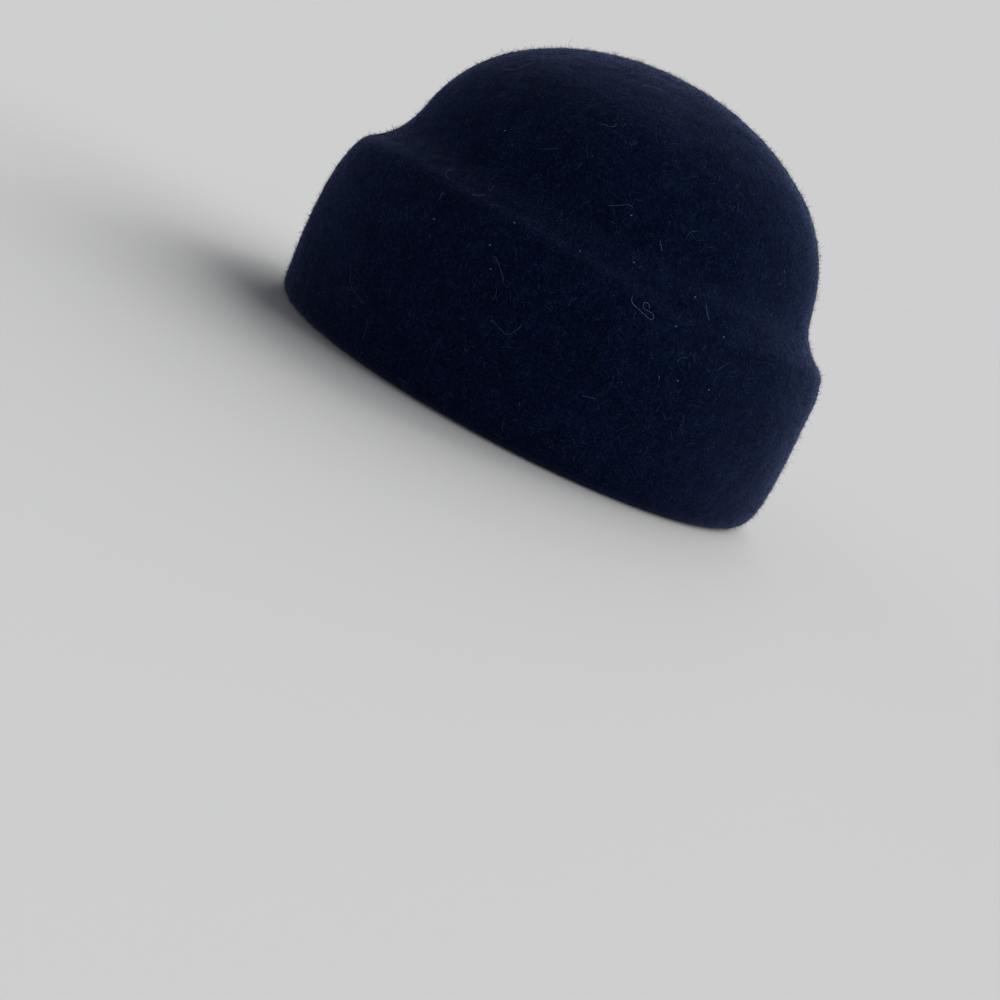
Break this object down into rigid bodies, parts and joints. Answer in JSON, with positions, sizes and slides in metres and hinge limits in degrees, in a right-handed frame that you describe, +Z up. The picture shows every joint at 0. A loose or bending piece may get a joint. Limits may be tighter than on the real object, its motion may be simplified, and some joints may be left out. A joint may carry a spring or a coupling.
{
  "type": "sailor hat",
  "caption": "Moulded navy felt sailor hat with a round crown, a coved shelf and a deep cuff whose rim rolls under, open below for the head.",
  "frame": {"origin": "middle of the hat's footprint, on the surface that the rim stands on", "axes": "+Z up through the crown, -Y towards the front of the wearer's head, +X towards the wearer's left"},
  "size_m": [0.1932, 0.2273, 0.1516],
  "materials": {
    "wool_felt": "navy wool felt, short brushed nap, matt"
  },
  "bodies": {
    "root": {"felt_body": "wool_felt"}
  },
  "joints": []
}
